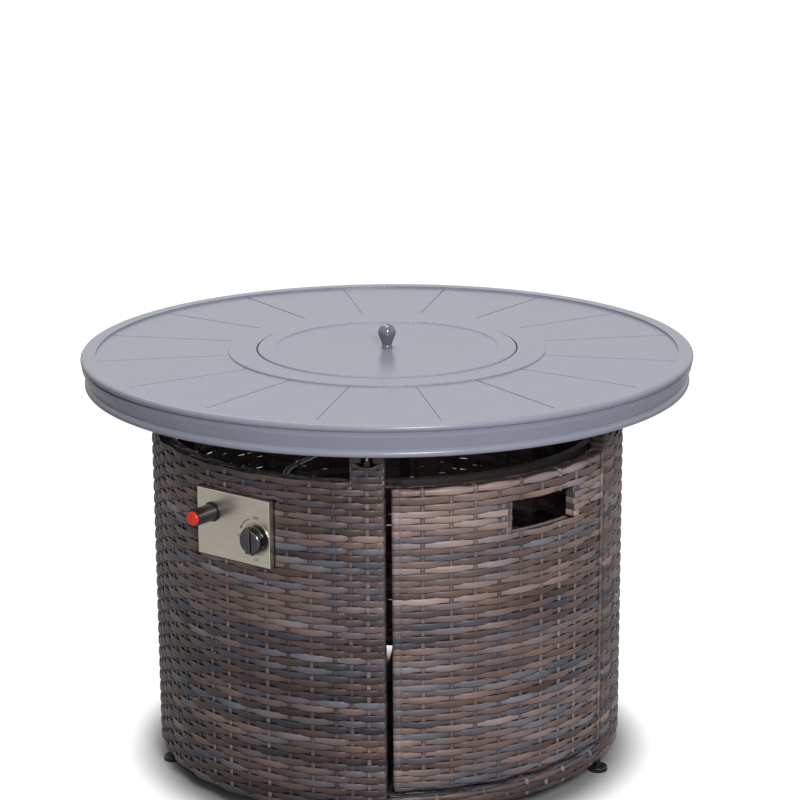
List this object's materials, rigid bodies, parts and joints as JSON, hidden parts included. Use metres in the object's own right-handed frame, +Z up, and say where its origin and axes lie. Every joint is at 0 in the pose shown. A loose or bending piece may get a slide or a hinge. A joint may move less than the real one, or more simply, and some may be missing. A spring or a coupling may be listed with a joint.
{
  "type": "gas fire pit table",
  "caption": "Round outdoor fire pit table with a grooved metal top, a lift-off burner lid with a knob, a wicker-covered base with a hinged cylinder door, and push-button gas controls.",
  "frame": {"origin": "on the floor, under the middle of the table", "axes": "+Z up, -Y towards the front post between the controls and the door, +X to the right of someone who faces the front"},
  "size_m": [0.914, 0.914, 0.6646],
  "materials": {
    "frame_paint": "powder coated, dark brown",
    "top_paint": "powder coated, slate grey",
    "wicker": "flat woven resin strand",
    "stainless": "brushed",
    "zinc_steel": "zinc plated",
    "black_plastic": "moulded",
    "dark_chrome": "dark plated",
    "red_plastic": "moulded",
    "brass": "machined",
    "black_rubber": "moulded",
    "lava_stone": "porous volcanic rock, of about this density",
    "ceramic": "glazed ceramic",
    "tube_aluminium": "drawn tube"
  },
  "bodies": {
    "base": {"base_frame": "frame_paint", "tank_tray": "frame_paint", "wicker_panel_left": "wicker", "wicker_panel_back_left": "wicker", "wicker_panel_back": "wicker", "wicker_panel_back_right": "wicker", "wicker_sill": "wicker", "wicker_posts": "wicker", "door_pivot_brackets": "frame_paint", "door_pivot_pins": "zinc_steel", "door_catch_bracket": "frame_paint", "door_catch_magnet": "black_plastic", "tabletop_frame": "frame_paint", "tabletop_sheet": "top_paint", "tabletop_rim": "top_paint", "burner_surround": "top_paint", "frame_screws": "zinc_steel", "post_bolts": "zinc_steel", "post_bolt_nuts": "zinc_steel", "burner_pan": "stainless", "pan_grommets": "black_rubber", "burner_ring": "stainless", "burner_nipple": "zinc_steel", "burner_locknut": "zinc_steel", "air_mixer": "brass", "orifice_elbow": "brass", "flame_guard": "stainless", "spark_electrode": "ceramic", "thermocouple": "stainless", "lava_rocks": "lava_stone", "control_plate": "stainless", "control_plate_nuts": "zinc_steel", "control_bracket": "zinc_steel", "knob_bezel": "stainless", "spindle_spring": "zinc_steel", "valve_body": "brass", "inlet_fitting": "brass", "gas_tube": "tube_aluminium", "tube_nuts": "brass", "igniter_housing": "black_plastic", "igniter_nut": "black_plastic", "igniter_spring": "zinc_steel", "igniter_lead": "black_rubber", "thermocouple_lead": "black_rubber"},
    "door": {"door_frame": "frame_paint", "door_bushes": "brass", "door_strike": "zinc_steel", "wicker_door": "wicker"},
    "lid": {"lid_plate": "top_paint", "lid_knob": "top_paint", "lid_knob_screw": "zinc_steel"},
    "gas_plunger": {"spring_seat": "zinc_steel"},
    "gas_knob": {"gas_knob": "dark_chrome", "valve_spindle": "zinc_steel"},
    "igniter_button": {"igniter_button": "red_plastic"},
    "foot_1": {"levelling_foot_1": "black_plastic"},
    "foot_2": {"levelling_foot_2": "black_plastic"},
    "foot_3": {"levelling_foot_3": "black_plastic"},
    "foot_4": {"levelling_foot_4": "black_plastic"},
    "foot_5": {"levelling_foot_5": "black_plastic"}
  },
  "joints": [
    {"name": "lid_lift", "type": "slide", "parent": "base", "child": "lid", "axis": [0, 0, 1], "range_m": [0, 0.15]},
    {"name": "door_swing", "type": "hinge", "parent": "base", "child": "door", "pos_m": [0.01324, -0.34475, 0.287], "axis": [0, 0, -1], "range_deg": [0, 105]},
    {"name": "gas_knob_push", "type": "slide", "parent": "base", "child": "gas_plunger", "axis": [0.6101, 0.7923, 0], "range_m": [0, 0.004], "stiffness_N_per_m": 800, "springref_m": -0.003, "deforming": ["spindle_spring"]},
    {"name": "gas_knob_turn", "type": "hinge", "parent": "gas_plunger", "child": "gas_knob", "pos_m": [-0.18851, -0.31362, 0.427], "axis": [-0.6101, -0.7923, 0], "range_deg": [-180, 0]},
    {"name": "igniter_push", "type": "slide", "parent": "base", "child": "igniter_button", "axis": [0.6101, 0.7923, 0], "range_m": [0, 0.005], "stiffness_N_per_m": 1500, "springref_m": -0.002, "deforming": ["igniter_spring"]},
    {"name": "foot_1_screw", "type": "slide", "parent": "base", "child": "foot_1", "axis": [0, 0, -1], "range_m": [0, 0.012]},
    {"name": "foot_2_screw", "type": "slide", "parent": "base", "child": "foot_2", "axis": [0, 0, -1], "range_m": [0, 0.012]},
    {"name": "foot_3_screw", "type": "slide", "parent": "base", "child": "foot_3", "axis": [0, 0, -1], "range_m": [0, 0.012]},
    {"name": "foot_4_screw", "type": "slide", "parent": "base", "child": "foot_4", "axis": [0, 0, -1], "range_m": [0, 0.012]},
    {"name": "foot_5_screw", "type": "slide", "parent": "base", "child": "foot_5", "axis": [0, 0, -1], "range_m": [0, 0.012]}
  ]
}
